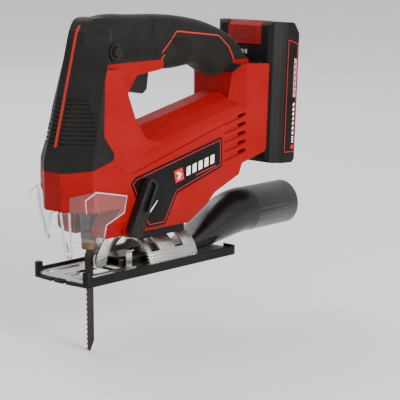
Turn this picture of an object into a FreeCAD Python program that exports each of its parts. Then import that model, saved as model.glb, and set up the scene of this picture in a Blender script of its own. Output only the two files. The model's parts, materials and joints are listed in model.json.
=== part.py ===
import FreeCAD, Part
import math
import os
import Sketcher
from FreeCAD import Placement, Rotation, Vector

# Cordless jigsaw.  Millimetres, +Z up, +X from the nose to the battery, -Y is the tool's left side.
# The origin is where the blade's axis crosses the underside of the foot.

DOC = FreeCAD.newDocument("Jigsaw")
SHEET = DOC.addObject("Spreadsheet::Sheet", "Sizes")

SIZES = {
    # housing
    "body_half": 30.0,
    "grip_skin": 1.6,
    "shell_wall": 3.2,
    "nose_front": -36.0,
    "nose_bottom": 57.0,
    "body_bottom": 33.0,
    "crown_rise": 0.213,
    # drive line
    "gear_height": 108.0,
    "gear_teeth": 50.0,
    "pinion_teeth": 10.0,
    "tooth_module": 0.8,
    "gear_front": 13.6,
    "gear_thick": 8.0,
    "crank_throw": 10.0,
    "crank_pin_radius": 2.5,
    "crank_roller_radius": 4.0,
    "gear_pin_radius": 3.5,
    "motor_radius": 21.0,
    "motor_front": 48.0,
    "motor_length": 56.0,
    "shaft_radius": 2.5,
    "bearing_radius": 8.0,
    "bearing_width": 5.0,
    "fan_radius": 19.0,
    "running_gap": 0.05,
    # plunger and blade
    "rod_radius": 5.0,
    "rod_bottom": 50.0,
    "rod_top": 145.0,
    "carrier_pivot": 134.0,
    "chuck_top_radius": 7.5,
    "chuck_radius": 6.4,
    "sleeve_radius": 5.9,
    "blade_width": 8.0,
    "blade_thick": 1.2,
    "blade_tip": -61.0,
    "tooth_pitch": 4.0,
    "roller_radius": 7.0,
    "roller_height": 11.5,
    "roller_place": 9.2,
    "fork_pivot": 50.0,
    # foot
    "foot_front": -33.5,
    "foot_rear": 141.0,
    "foot_half": 31.0,
    "shoe_base": 2.2,
    "plate_thick": 2.5,
    "shoe_rim": 7.0,
    "bevel_height": 2.3,
    "arch_radius": 25.0,
    "arch_thick": 2.0,
    "arch_front": 42.0,
    "arch_rear": 98.0,
    # dust tube
    "tube_radius": 19.0,
    "tube_bore": 17.25,
    "tube_height": 28.4,
    "tube_shoulder": 184.0,
    "tube_end": 234.0,
    # battery
    "pack_lean": 3.0,
    "pack_place": 180.0,
    "pack_centre": 132.0,
    "pack_half": 37.0,
    "pack_top": 59.0,
    "pack_bottom": -60.0,
    "cell_radius": 9.1,
    "cell_length": 65.0,
}
for row, (alias, number) in enumerate(SIZES.items(), start=1):
    SHEET.set(f"A{row}", alias)
    SHEET.set(f"B{row}", str(number))
    SHEET.setAlias(f"B{row}", alias)
DOC.recompute()

NODES = []


def size(alias):
    return float(getattr(SHEET, alias))


def node(obj, label):
    """Names a finished piece and puts it on the list that is exported."""
    obj.Label = label
    NODES.append(obj)
    return obj


def feature(label, shape, place=None):
    """A piece whose shape comes from Part's own functions."""
    obj = DOC.addObject("Part::Feature", label)
    obj.Shape = shape
    if place is not None:
        obj.Placement = place
    return node(obj, label)


def bind(obj, **formulas):
    for prop, formula in formulas.items():
        obj.setExpression(prop, formula)
    return obj


def cylinder(name, radius, height, base, direction=(0, 0, 1)):
    """Part::Cylinder with its radius and height bound to formulas."""
    obj = DOC.addObject("Part::Cylinder", name)
    bind(obj, Radius=radius, Height=height)
    obj.Placement = Placement(Vector(*base), Rotation(Vector(0, 0, 1), Vector(*direction)))
    return obj


def ring(label, outer, inner, height, base, direction):
    """A tube: one cylinder cut from another, both bound to formulas."""
    cut = DOC.addObject("Part::Cut", label)
    cut.Base = cylinder(label + "_outer", outer, height, base, direction)
    cut.Tool = cylinder(label + "_inner", inner, height, base, direction)
    return cut


def join(name, *parts):
    obj = DOC.addObject("Part::MultiFuse", name)
    obj.Shapes = list(parts)
    return obj


def cut(name, base, tool):
    obj = DOC.addObject("Part::Cut", name)
    obj.Base = base
    obj.Tool = tool
    return obj


def solid_cylinder(radius, height, base, direction=(0, 0, 1)):
    return Part.makeCylinder(radius, height, Vector(*base), Vector(*direction))


def solid_box(x0, x1, y0, y1, z0, z1):
    return Part.makeBox(x1 - x0, y1 - y0, z1 - z0, Vector(x0, y0, z0))


def corner_path(points):
    """Lines and tangent arcs through closed (u, v, radius) corners, as geometry in the XY plane."""
    corners = [Vector(p[0], p[1], 0) for p in points]
    radii = [p[2] if len(p) > 2 else 0 for p in points]
    count = len(corners)
    ends = []
    arcs = {}
    for i, corner in enumerate(corners):
        if radii[i] == 0:
            ends.append((corner, corner))
            continue
        before = (corners[i - 1] - corner).normalize()
        after = (corners[(i + 1) % count] - corner).normalize()
        half = before.getAngle(after) / 2
        reach = radii[i] / math.tan(half)
        crest = corner + (before + after).normalize() * (radii[i] / math.sin(half) - radii[i])
        arcs[i] = Part.Arc(corner + before * reach, crest, corner + after * reach)
        ends.append((corner + before * reach, corner + after * reach))
    path = []
    for i in range(count):
        if i in arcs:
            path.append(arcs[i])
        start = ends[i][1]
        stop = ends[(i + 1) % count][0]
        if (start - stop).Length > 1e-6:
            path.append(Part.LineSegment(start, stop))
    return path


def plan_wire(points, height=0.0):
    wire = Part.Wire([piece.toShape() for piece in corner_path(points)])
    wire.translate(Vector(0, 0, height))
    return wire


def outline(points):
    """A closed wire in the XZ plane through (x, z, radius) corners."""
    wire = plan_wire(points)
    wire.rotate(Vector(0, 0, 0), Vector(1, 0, 0), 90)
    return wire


def side_face(points, inset=0.0):
    face = Part.Face(outline(points))
    if inset:
        face = face.makeOffset2D(-inset)
    return face


def side_prism(points, low, high, inset=0.0):
    """An XZ outline carried across the tool from Y = low to Y = high."""
    face = side_face(points, inset)
    face.translate(Vector(0, low, 0))
    return face.extrude(Vector(0, high - low, 0))


def plan_prism(points, low, high):
    """A plan outline carried up from Z = low to Z = high."""
    return Part.Face(plan_wire(points, low)).extrude(Vector(0, 0, high - low))


def rear_prism(points, front, rear):
    """A (y, z, radius) outline carried along X from front to rear."""
    face = Part.Face(plan_wire(points))
    face.rotate(Vector(0, 0, 0), Vector(1, 1, 1), 120)
    face.translate(Vector(front, 0, 0))
    return face.extrude(Vector(rear - front, 0, 0))


def mirrored(shape):
    """The same shape on the tool's other side."""
    return shape.mirror(Vector(0, 0, 0), Vector(0, 1, 0))


def turned(points):
    """A solid of revolution about Z from (radius, height) points."""
    wire = Part.makePolygon([Vector(r, 0, h) for r, h in points + points[:1]])
    return Part.Face(wire).revolve(Vector(0, 0, 0), Vector(0, 0, 1), 360)


# ---------------------------------------------------------------------------------------------
# Housing: every part of the outer form is made by a function of its inset, so that the outer
# surface, the surface under the grips and the hollow inside are the same form at three sizes.

PILLAR = [
    (-60, 57, 0), (-60, 190, 0), (-11.5, 190, 0), (-3, 202.4, 9), (9, 202.4, 0), (11, 168, 0), (26, 124, 8),
    (36, 108, 8), (60, 101, 0), (60, 62, 0), (4, 57, 0),
]
LOWER_BODY = [
    (9, 60, 0), (-6, 46, 4), (-8.5, 38, 3), (-4, 33, 4), (88, 33, 6), (113, 55.5, 6), (143, 67, 2),
    (147, 76, 2), (177.2, 83, 4), (180.6, 150, 0), (9, 150, 0),
]
REAR_PILLAR = [
    (143, 100, 0), (141, 124, 8), (144, 152, 8), (150, 158.5, 4), (180.9, 156.5, 2), (177.2, 83, 4),
    (150, 77, 0),
]
TRIGGER_HOOD = [
    (-5, 178.5, 0), (54, 178.5, 4), (66, 171, 3), (62.5, 160, 3), (34, 157, 3), (27, 148, 5), (16, 130, 0),
    (-5, 130, 0),
]


def nose_section(front, half, height, inset):
    """Plan section of the nose: a narrow front facet and two slanted ones, ahead of straight sides."""
    nib = 9.0 - 0.4 * inset
    front = front + inset
    half = half - inset
    slant = 14.5
    points = [(front, -nib), (front + slant, -half), (70, -half), (70, half), (front + slant, half),
              (front, nib)]
    wire = [Vector(x, y, height) for x, y in points]
    return Part.makePolygon(wire + wire[:1])


def nose_form(inset):
    """The nose: straight below the grip's lower edge, then leaning back and narrowing to the top."""
    front = size("nose_front")
    half = size("body_half")
    levels = [(front, half, 30), (front - 1.5, half, 84), (front - 1.2, half - 0.5, 95),
              (-33.3, half - 2, 108),
              (-14, half - 6, 178), (-11, half - 8.5, 189), (-8, half - 12.5, 197.5), (-5, half - 19, 203.5)]
    sections = [nose_section(f, w, z, inset) for f, w, z in levels]
    return Part.makeLoft(sections, True, True)


def pillar_form(inset):
    """The front pillar, whose rear corners are drawn in where the handle leaves it."""
    form = nose_form(inset).common(side_prism(PILLAR, -40, 40, inset))
    corner = plan_prism([(-4, 26 - inset), (14, 16 - inset), (30, 16 - inset), (30, 60), (-4, 60)], 164, 230)
    return form.cut([corner, mirrored(corner)])


def crown_form(inset):
    """The lower body's cross-section: upright sides, a chamfer and a crowned top that climbs to the rear."""
    half = size("body_half") - inset
    height = 99.0 - inset
    points = [(half, -40), (half, height), (half - 3.5, height + 5), (half - 12, height + 11.5),
              (half - 22, height + 16.5)]
    ring_points = points + [(-y, z) for y, z in reversed(points)]
    start = Vector(-60, 0, -110 * size("crown_rise"))
    wire = Part.makePolygon([Vector(start.x, y, z + start.z) for y, z in ring_points + ring_points[:1]])
    return Part.Face(wire).extrude(Vector(260, 0, 260 * size("crown_rise")))


def keel_form(inset):
    """Turns the lower body's underside in at both sides."""
    half = size("body_half") - inset
    bottom = size("body_bottom") + inset
    points = [(half, 250), (half, bottom + 14, 8), (half - 6, bottom, 3), (6 - half, bottom, 3),
              (-half, bottom + 14, 8), (-half, 250)]
    return rear_prism(points, -60, 200)


def lower_form(inset):
    half = size("body_half")
    form = side_prism(LOWER_BODY, -half, half, inset)
    return form.common(crown_form(inset)).common(keel_form(inset))


def rear_form(inset):
    half = size("body_half") - inset
    form = side_prism(REAR_PILLAR, -half, half, inset)
    plan = [(100, 16 - inset), (139 + inset, 16 - inset), (152 + inset, half), (190, half), (190, -half),
            (152 + inset, -half), (139 + inset, inset - 16), (100, inset - 16)]
    return form.common(plan_prism(plan, 60, 180))


def hood_form(inset):
    half = 20.5 - inset
    form = side_prism(TRIGGER_HOOD, -half, half, inset)
    slope = [(half, 100), (half, 171 - inset), (half - 5, 178.5 - inset), (5 - half, 178.5 - inset),
             (-half, 171 - inset), (-half, 100)]
    return form.common(rear_prism(slope, -10, 80))


# Handle sections: place along X, underside, top and half width.
HANDLE = [
    (-6, 174, 196, 13), (14, 166, 203.6, 17), (40, 162.5, 203.2, 17), (64, 160, 202.2, 17),
    (82, 157.5, 201.2, 17.5), (100, 158.5, 199, 17.5), (116, 158, 196, 17.5), (132, 150, 191.5, 17),
    (146, 147.5, 186, 16.5), (160, 149, 177, 16), (176, 152, 162, 15),
]


def handle_section(place, low, high, half, inset):
    """A rounded upright section of the handle, as a superellipse through evenly spaced points."""
    centre = (low + high) / 2
    tall = (high - low) / 2 - inset
    wide = half - inset
    power = 0.75
    points = []
    for step in range(32):
        angle = 2 * math.pi * step / 32
        y = wide * math.copysign(abs(math.cos(angle)) ** power, math.cos(angle))
        z = tall * math.copysign(abs(math.sin(angle)) ** power, math.sin(angle))
        points.append(Vector(place, y, centre + z))
    curve = Part.BSplineCurve()
    curve.interpolate(points, PeriodicFlag=True)
    return Part.Wire([curve.toShape()])


def handle_form(inset):
    return Part.makeLoft([handle_section(*row, inset) for row in HANDLE], True, False)


def housing_form(inset):
    form = pillar_form(inset)
    for piece in (lower_form(inset), rear_form(inset), hood_form(inset), handle_form(inset)):
        form = form.fuse(piece)
    return form.Solids[0]


# What is soft to the touch: the nose above a line under its ribs, and the whole handle.
GRIP_AREA = [
    (-60, 87, 0), (-34, 87, 0), (-20, 90, 0), (4, 96, 5), (-8.5, 114, 5), (-4, 161, 4), (0, 167.5, 0),
    (63, 167.5, 0), (70, 147, 0), (141, 147, 0), (145, 152, 3), (152, 160.5, 0), (200, 160.5, 0),
    (200, 230, 0),
    (-60, 230, 0),
]
# The seam line of the finger grip on the handle.
SEAM = [(61, 168, 0), (82, 189, 5), (134, 182.5, 8), (146, 172, 6), (158, 150, 0), (158, 130, 0),
        (61, 130, 0)]
LABEL = [
    (122, 101, 2), (122, 76, 3), (69, 61, 5), (55, 37.5, 2), (36, 37.5, 1), (31, 45, 2), (16.5, 75, 3),
    (23, 79.5, 3),
]
PACK = Placement(Vector(size("pack_place"), 0, size("pack_centre")),
                 Rotation(Vector(0, 1, 0), size("pack_lean")))
SCREWS = [(-19, 119), (-2, 189), (38, 49), (119, 70.5), (159, 92), (158, 149), (112, 178)]
LEVER_HUB = (17.5, 39.5)
LEVER_TIP = (33.5, 71.5)
LOCK_BUTTON = (8.0, 177.0)
TRIGGER_PIVOT = (26.0, 161.0)
CLAMP_SCREW = 53.0
DETENT_SLOT = 80.0
RIVETS = [(49, -26.6), (91, -26.6), (49, 26.6), (91, 26.6)]


def in_pack(shape):
    """Moves a shape drawn in the battery's own leaning frame to its place on the tool."""
    shape.Placement = PACK.multiply(shape.Placement)
    return shape


def rail_pocket():
    """The T-shaped channel that the battery's rail block slides down into."""
    wide = solid_box(-9.2, -3.2, -25.6, 25.6, -42, 100)
    neck = solid_box(-3.3, 14, -22, 22, -42, 100)
    return in_pack(wide.fuse(neck))


def rail_tub():
    return in_pack(solid_box(-11.2, 2, -28.5, 28.5, -45, 60))


def vents(side):
    """Five sloping grooves, each with a slot through the wall at its rear end."""
    cuts = []
    slope = math.degrees(math.atan(size("crown_rise")))
    for step in range(5):
        height = 116.5 - 7.5 * step
        groove = side_prism([(-26, -1.7, 1.6), (1.7, -1.7, 1.6), (1.7, 1.7, 1.6), (-26, 1.7, 1.6)], 0, 1.2)
        slot = side_prism([(-7, -1.1, 1), (1.1, -1.1, 1), (1.1, 1.1, 1), (-7, 1.1, 1)], 0, 9)
        for tool in (groove, slot):
            tool.rotate(Vector(0, 0, 0), Vector(0, 1, 0), -slope)
            tool.translate(Vector(149.5, -size("body_half") - 0.001, height))
            cuts.append(tool if side < 0 else mirrored(tool))
    return Part.makeCompound(cuts)


def side_groove(side):
    """The long crease groove above the label."""
    low = -size("body_half") - 1
    tool = side_prism([(18, 83.2), (141, 115.9), (141, 114.6), (18, 81.9)], low, low + 1.8)
    return tool if side < 0 else mirrored(tool)


def screw_bosses(side):
    low, high = (-32, 0) if side < 0 else (0, 32)
    bosses = [solid_cylinder(3.6, high - low, (x, low, z), (0, 1, 0)) for x, z in SCREWS]
    pivot = solid_cylinder(3.2, 11.5, (TRIGGER_PIVOT[0], 7, TRIGGER_PIVOT[1]), (0, 1, 0))
    hanger = solid_cylinder(5.6, 18, (0, 10, size("carrier_pivot")), (0, 1, 0))
    hanger = hanger.cut(solid_cylinder(3, 4.3, (0, 10, size("carrier_pivot")), (0, 1, 0)))
    for boss in (pivot, hanger):
        bosses.append(boss if side > 0 else mirrored(boss))
    return bosses


def screw_holes():
    holes = []
    for x, z in SCREWS:
        holes.append(solid_cylinder(1.5, 26, (x, -12, z), (0, 1, 0)))
        holes.append(solid_cylinder(3.1, 30, (x, 10, z), (0, 1, 0)))
    return Part.makeCompound(holes)


def motor_ribs():
    """Two ribs in each shell that hold the motor can."""
    ribs = []
    for place in (size("motor_front") + 10, size("motor_front") + 42):
        rib = solid_box(place, place + 2, -29, 29, 40, 104)
        ribs.append(rib.cut(solid_cylinder(size("motor_radius"), 10, (place - 4, 0, motor_height()),
                                           (1, 0, 0))))
    return ribs


def motor_height():
    spacing = size("tooth_module") * (size("gear_teeth") + size("pinion_teeth")) / 2
    return size("gear_height") - spacing


def wire_guard_shape():
    """The steel wire loop in front of the blade, from two holes under the nose."""
    top = size("nose_bottom") + size("shell_wall")
    half = [Vector(-25, 5, top), Vector(-21.6, 3.4, 21), Vector(-21.3, 2.2, 18.2), Vector(-21.2, 0, 17.2)]
    points = [Vector(p.x, -p.y, p.z) for p in half[:3]] + half[::-1]
    rods = []
    for start, stop in zip(points, points[1:]):
        rods.append(Part.makeCylinder(0.9, (stop - start).Length, start, stop - start))
        rods.append(Part.makeSphere(0.9, stop))
    return rods[0].fuse(rods[1:-1])


def openings():
    """Everything that is cut through the shells and the grips alike."""
    hub_x, hub_z = LEVER_HUB
    lock_x, lock_z = LOCK_BUTTON
    return Part.makeCompound([
        solid_box(-60, 22, -11.5, 11.5, 30, 57.001),
        solid_box(-16, 22, -11.5, 11.5, 56, 62),
        solid_box(30, 63.5, -6.8, 6.8, 140, 176),
        solid_cylinder(4.25, 80, (lock_x, -40, lock_z), (0, 1, 0)),
        solid_cylinder(6.6, 20, (lock_x - 1, -43, lock_z), (0, 1, 0)),
        solid_cylinder(6.6, 20, (lock_x - 1, 23, lock_z), (0, 1, 0)),
        solid_cylinder(3.05, 20, (hub_x, -40, hub_z), (0, 1, 0)),
        solid_cylinder(2.6, 14, (CLAMP_SCREW, 0, 30)),
        solid_cylinder(1.5, 33.6, (TRIGGER_PIVOT[0], -16.8, TRIGGER_PIVOT[1]), (0, 1, 0)),
        wire_guard_shape(),
        screw_holes(),
    ])


def label_area(low, high, inset=0.0):
    return side_prism(LABEL, low, high, inset)


def build_housing():
    skin = size("grip_skin")
    half = size("body_half")
    outer = housing_form(0.0)
    under = housing_form(skin)
    hollow = housing_form(size("shell_wall"))
    area = side_prism(GRIP_AREA, -60, 60)
    skin_all = outer.cut(under).common(area)
    stripe = solid_box(-60, 2, -1.4, 1.4, 106, 197)
    seam_band = side_prism(SEAM, -60, 60).cut(side_prism(SEAM, -61, 61, 1.1))
    seam_band = seam_band.common(Part.makeCompound([solid_box(50, 170, -60, -8, 100, 230),
                                                    solid_box(50, 170, 8, 60, 100, 230)]))
    accents = skin_all.common(Part.makeCompound([stripe, seam_band]))
    ribbed = [solid_box(-60, -16, -60, 60, 107.6 + 3.3 * i, 109.2 + 3.3 * i) for i in range(11)]
    ribbed = Part.makeCompound(ribbed).cut(nose_form(0.9))
    grips = skin_all.cut(Part.makeCompound([stripe, seam_band])).cut(ribbed)
    holes = [openings(), rail_pocket()]
    accents = accents.cut(holes)
    grips = grips.cut(holes)
    core = outer.cut(skin_all)
    panels = []
    for side, name in ((-1, "left"), (1, "right")):
        low, high = (-60, 0) if side < 0 else (0, 60)
        room = solid_box(-80, 220, low, high, 0, 240)
        shell = core.cut(hollow).common(room)
        extras = screw_bosses(side) + [rib.common(room) for rib in motor_ribs()]
        extras.append(rail_tub().common(room))
        shell = shell.fuse([extra.common(under) for extra in extras])
        if side < 0:
            seat = solid_cylinder(7.2, 10, (LEVER_HUB[0], -half - 0.4, LEVER_HUB[1]), (0, 1, 0))
            shell = shell.fuse(seat)
        recess = label_area(-40, 0.8 - half)
        recess = recess if side < 0 else mirrored(recess)
        window = in_pack(solid_box(-12, -9, -10, 10, -41, -38.4))
        relief = solid_cylinder(21.1, 9.4, (12.8, 0, size("gear_height")), (1, 0, 0))
        shell = shell.cut(holes + [vents(side), side_groove(side), recess, window, relief])
        feature(f"{name}_shell", biggest(shell))
        grip = grips.common(room)
        feature(f"{name}_grip", Part.makeCompound([s for s in grip.Solids if s.Volume > 20]))
        panel = label_area(-half - 0.2, 0.8 - half)
        if side < 0:
            panel = panel.cut(solid_cylinder(7.4, 20, (LEVER_HUB[0], -45, LEVER_HUB[1]), (0, 1, 0)))
        else:
            panel = mirrored(panel)
        panels.append(panel)
    feature("side_labels", Part.makeCompound(panels))
    feature("accent_strips", Part.makeCompound([s for s in accents.Solids if s.Volume > 3]))


def biggest(shape):
    return max(shape.Solids, key=lambda solid: solid.Volume)




# ---------------------------------------------------------------------------------------------
# PartDesign helpers

def sketch(owner, role, height=0.0):
    """A sketch on one of the body's own origin planes, raised by height along the plane's normal."""
    drawn = owner.newObject("Sketcher::SketchObject", owner.Name + "_sketch")
    plane = [item for item in owner.Origin.OriginFeatures if item.Role == role][0]
    drawn.AttachmentSupport = [(plane, "")]
    drawn.MapMode = "FlatFace"
    drawn.AttachmentOffset = Placement(Vector(0, 0, height), Rotation())
    return drawn


def draw(drawn, points):
    drawn.addGeometry(corner_path(points), False)
    return drawn


def draw_rectangle(drawn, wide, tall, left, bottom):
    """A rectangle whose width and height follow formulas, its lower left corner at (left, bottom)."""
    formulas = (("wide", wide), ("tall", tall))
    corners = [Vector(0, 0, 0), Vector(10, 0, 0), Vector(10, 10, 0), Vector(0, 10, 0)]
    first = drawn.GeometryCount
    for i in range(4):
        drawn.addGeometry(Part.LineSegment(corners[i], corners[(i + 1) % 4]), False)
    for i in range(4):
        drawn.addConstraint(Sketcher.Constraint("Coincident", first + i, 2, first + (i + 1) % 4, 1))
    drawn.addConstraint(Sketcher.Constraint("Horizontal", first))
    drawn.addConstraint(Sketcher.Constraint("Horizontal", first + 2))
    drawn.addConstraint(Sketcher.Constraint("Vertical", first + 1))
    drawn.addConstraint(Sketcher.Constraint("Vertical", first + 3))
    drawn.addConstraint(Sketcher.Constraint("DistanceX", -1, 1, first, 1, left))
    drawn.addConstraint(Sketcher.Constraint("DistanceY", -1, 1, first, 1, bottom))
    drawn.addConstraint(Sketcher.Constraint("DistanceX", first, 1, first, 2, 10))
    across = drawn.ConstraintCount - 1
    drawn.addConstraint(Sketcher.Constraint("DistanceY", first + 1, 1, first + 1, 2, 10))
    up = drawn.ConstraintCount - 1
    for index, (word, formula) in zip((across, up), formulas):
        drawn.renameConstraint(index, f"{word}_{first}")
        drawn.setExpression(f"Constraints.{word}_{first}", formula)
    return drawn


def draw_circle(drawn, radius, x, y):
    index = drawn.addGeometry(Part.Circle(Vector(x, y, 0), Vector(0, 0, 1), 1), False)
    drawn.addConstraint(Sketcher.Constraint("DistanceX", -1, 1, index, 3, x))
    drawn.addConstraint(Sketcher.Constraint("DistanceY", -1, 1, index, 3, y))
    drawn.addConstraint(Sketcher.Constraint("Radius", index, 1))
    name = f"radius_{index}"
    drawn.renameConstraint(drawn.ConstraintCount - 1, name)
    drawn.setExpression(f"Constraints.{name}", radius)
    return drawn


def pad(owner, drawn, length, side="One side", backwards=False):
    grown = owner.newObject("PartDesign::Pad", owner.Name + "_pad")
    grown.Profile = drawn
    grown.SideType = side
    grown.Reversed = backwards
    grown.setExpression("Length", length)
    DOC.recompute()
    return grown


def pocket(owner, drawn, length, side="One side", backwards=False):
    before = owner.Shape.Volume
    sunk = owner.newObject("PartDesign::Pocket", owner.Name + "_pocket")
    sunk.Profile = drawn
    sunk.SideType = side
    sunk.Reversed = backwards
    sunk.setExpression("Length", length)
    DOC.recompute()
    if owner.Shape.Volume >= before - 1e-3:
        raise RuntimeError(f"{owner.Label}: a pocket removed nothing")
    return sunk


# ---------------------------------------------------------------------------------------------
# Motor and gears

def gear_wire(teeth, backlash, first_angle):
    """An involute spur gear outline in the XY plane, with stub teeth and a 25 degree pressure angle."""
    module = size("tooth_module")
    pitch = module * teeth / 2
    press = math.radians(25)
    base = pitch * math.cos(press)
    tip = pitch + 0.8 * module
    root = pitch - 1.05 * module

    def involute(angle):
        return math.tan(angle) - angle

    def half_tooth(radius):
        angle = 0.0 if radius <= base else math.acos(base / radius)
        return math.pi / (2 * teeth) + involute(press) - involute(angle) - backlash / (2 * pitch)

    flank = [max(base, root + 0.05) + (tip - max(base, root + 0.05)) * step / 3 for step in range(4)]
    profile = [(root, half_tooth(base))] + [(radius, half_tooth(radius)) for radius in flank]
    points = []
    for tooth in range(teeth):
        middle = first_angle + 2 * math.pi * tooth / teeth
        for radius, half in profile:
            points.append((radius, middle - half))
        for radius, half in reversed(profile):
            points.append((radius, middle + half))
    corners = [Vector(radius * math.cos(angle), radius * math.sin(angle), 0) for radius, angle in points]
    return Part.makePolygon(corners + corners[:1])


def gear_solid(teeth, backlash, first_angle, front, thick, height):
    """A gear with its axis along X; first_angle is measured from +Y towards +Z."""
    face = Part.Face(gear_wire(teeth, backlash, first_angle))
    face.rotate(Vector(0, 0, 0), Vector(1, 1, 1), 120)
    face.translate(Vector(front, 0, height))
    return face.extrude(Vector(thick, 0, 0))


def build_motor():
    height = motor_height()
    front = size("motor_front")
    length = size("motor_length")
    rear = front + length
    shaft = size("shaft_radius")
    radius = size("motor_radius")
    along = (1, 0, 0)

    can = solid_cylinder(radius, length, (front, 0, height), along)
    can = can.cut(solid_cylinder(radius - 1.5, length - 3, (front + 1.5, 0, height), along))
    can = can.cut(solid_cylinder(shaft + 1.5, length + 2, (front - 1, 0, height), along))
    for angle in range(0, 360, 60):
        window = solid_cylinder(3, 4, (front - 1, 0, height + 13), along)
        window.rotate(Vector(0, 0, height), Vector(1, 0, 0), angle + 30)
        can = can.cut(window)
    feature("motor_can", can)

    magnets = solid_cylinder(radius - 1.5, 32, (front + 6, 0, height), along)
    magnets = magnets.cut(solid_cylinder(14.2, 40, (front + 2, 0, height), along))
    magnets = magnets.cut(solid_box(front, rear, -30, 30, height - 4, height + 4))
    feature("motor_magnets", magnets)

    core = solid_cylinder(13.4, 30, (front + 7, 0, height), along)
    for slot in range(9):
        gap = solid_box(front + 6, front + 38, -1.1, 1.1, height + 9.5, height + 14)
        gap.rotate(Vector(0, 0, height), Vector(1, 0, 0), 40 * slot)
        core = core.cut(gap)
    rotor = core.fuse([
        solid_cylinder(shaft, rear + 8 - size("gear_front") - 0.9, (size("gear_front") + 0.9, 0, height),
                       along),
        solid_cylinder(6, 10, (front + 39, 0, height), along),
        solid_cylinder(3.6, 3, (front + 3.5, 0, height), along),
    ])
    feature("armature", rotor.cut(solid_cylinder(2.5, 9.2, (size("gear_front") - 0.2, 0, height), along)))

    pinion = gear_solid(int(size("pinion_teeth")), 0.06, math.pi / 2, size("gear_front") + 0.4, 8.4, height)
    feature("motor_pinion", pinion)

    fan = solid_cylinder(size("fan_radius"), 1.4, (front - 4.4, 0, height), along)
    blades = [fan, solid_cylinder(5.5, 7, (front - 10, 0, height), along)]
    for step in range(11):
        blade = solid_box(front - 10, front - 3.8, -0.6, 0.6, height + 5, height + size("fan_radius") - 0.5)
        blade.rotate(Vector(front, 0, height + 5), Vector(0, 0, 1), 12)
        blade = blade.common(solid_box(front - 9.8, front - 3.2, -9, 9, height, height + 40))
        blade.rotate(Vector(0, 0, height), Vector(1, 0, 0), 360 / 11 * step)
        blades.append(blade)
    fan = blades[0].fuse(blades[1:])
    feature("cooling_fan", fan.cut(solid_cylinder(shaft, 20, (front - 14, 0, height), along)))

    bore = "Sizes.shaft_radius + Sizes.running_gap"
    rings = [ring(f"bearing_{name}", "Sizes.bearing_radius", bore, "Sizes.bearing_width", (x, 0, height),
                  along)
             for name, x in (("front", 25.5), ("rear", rear + 1))]
    node(join("motor_bearings", *rings), "motor_bearings")

    cap = solid_cylinder(radius - 1, 9.6, (rear + 0.1, 0, height), along)
    cap = cap.cut(solid_cylinder(size("bearing_radius"), 5.05, (rear + 1, 0, height), along))
    cap = cap.cut(solid_cylinder(4, 12, (rear, 0, height), along))
    cap = cap.cut(solid_cylinder(12, 1, (rear, 0, height), along))
    feature("motor_end_cap", cap)

    brushes = [solid_box(front + 41, front + 46.5, 6.15, 13, height - 2.2, height + 2.2),
               solid_box(front + 41, front + 46.5, -13, -6.15, height - 2.2, height + 2.2)]
    feature("carbon_brushes", Part.makeCompound(brushes))


def build_crank():
    axis = size("gear_height")
    front = size("gear_front")
    thick = size("gear_thick")
    throw = size("crank_throw")
    along = (1, 0, 0)
    teeth = int(size("gear_teeth"))
    wheel = gear_solid(teeth, 0.06, -math.pi / 2 + math.pi / teeth, front, thick, axis)
    wheel = wheel.fuse(solid_cylinder(7.5, 24.6 - front, (front, 0, axis), along))
    wheel = wheel.cut(solid_cylinder(size("gear_pin_radius") + size("running_gap"), 30, (front - 5, 0, axis),
                                     along))
    wheel = wheel.cut(solid_cylinder(size("crank_pin_radius"), 30, (front - 5, 0, axis - throw), along))
    web = solid_cylinder(17.5, 2.5, (front + thick - 2.5, 0, axis), along)
    wheel = wheel.cut(web.cut(solid_cylinder(14, 30, (front - 2, 0, axis), along)))
    feature("crank_gear", wheel)
    node(cylinder("gear_pin", "Sizes.gear_pin_radius", "29.8 - Sizes.gear_front", (front - 0.4, 0, axis),
                  along),
         "gear_pin")
    node(cylinder("crank_pin", "Sizes.crank_pin_radius", "Sizes.gear_front + Sizes.gear_thick - 8.6",
                  (8.6, 0, axis - throw), along), "crank_pin")
    roller = ring("crank_roller", "Sizes.crank_roller_radius", "Sizes.crank_pin_radius", "4.2",
                  (9, 0, axis - throw), along)
    node(roller, "crank_roller")


def build_gearbox_frame():
    owner = DOC.addObject("PartDesign::Body", "gearbox_frame")
    plate = [(-8, 45, 2), (8, 45, 2), (9, 64, 4), (22, 70, 5), (22, 104, 6), (12, 112.3, 4), (-12, 112.3, 4),
             (-22, 104, 6), (-22, 70, 5), (-9, 64, 4)]
    pad(owner, draw(sketch(owner, "YZ_Plane", 25), plate), "4.5")
    lower = sketch(owner, "XZ_Plane", -8)
    draw(lower, [(12, 54, 3), (12, 46, 2), (29, 46, 1), (29, 64, 1), (20, 64, 3)])
    pad(owner, lower, "16")
    slot = sketch(owner, "XY_Plane", 66)
    draw_rectangle(slot, "15", "11.2", 10, -5.6)
    pocket(owner, slot, "24")
    seats = sketch(owner, "YZ_Plane", 25)
    draw_circle(seats, "Sizes.bearing_radius", 0, motor_height())
    draw_circle(seats, "Sizes.gear_pin_radius", 0, size("gear_height"))
    pocket(owner, seats, "8", backwards=True)
    hinge = sketch(owner, "XZ_Plane", 20)
    draw_circle(hinge, "2", 16, size("fork_pivot"))
    pocket(owner, hinge, "60")
    node(owner, "gearbox_frame")


# ---------------------------------------------------------------------------------------------
# Plunger, its swinging carrier, the clamp and the blade

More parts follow.
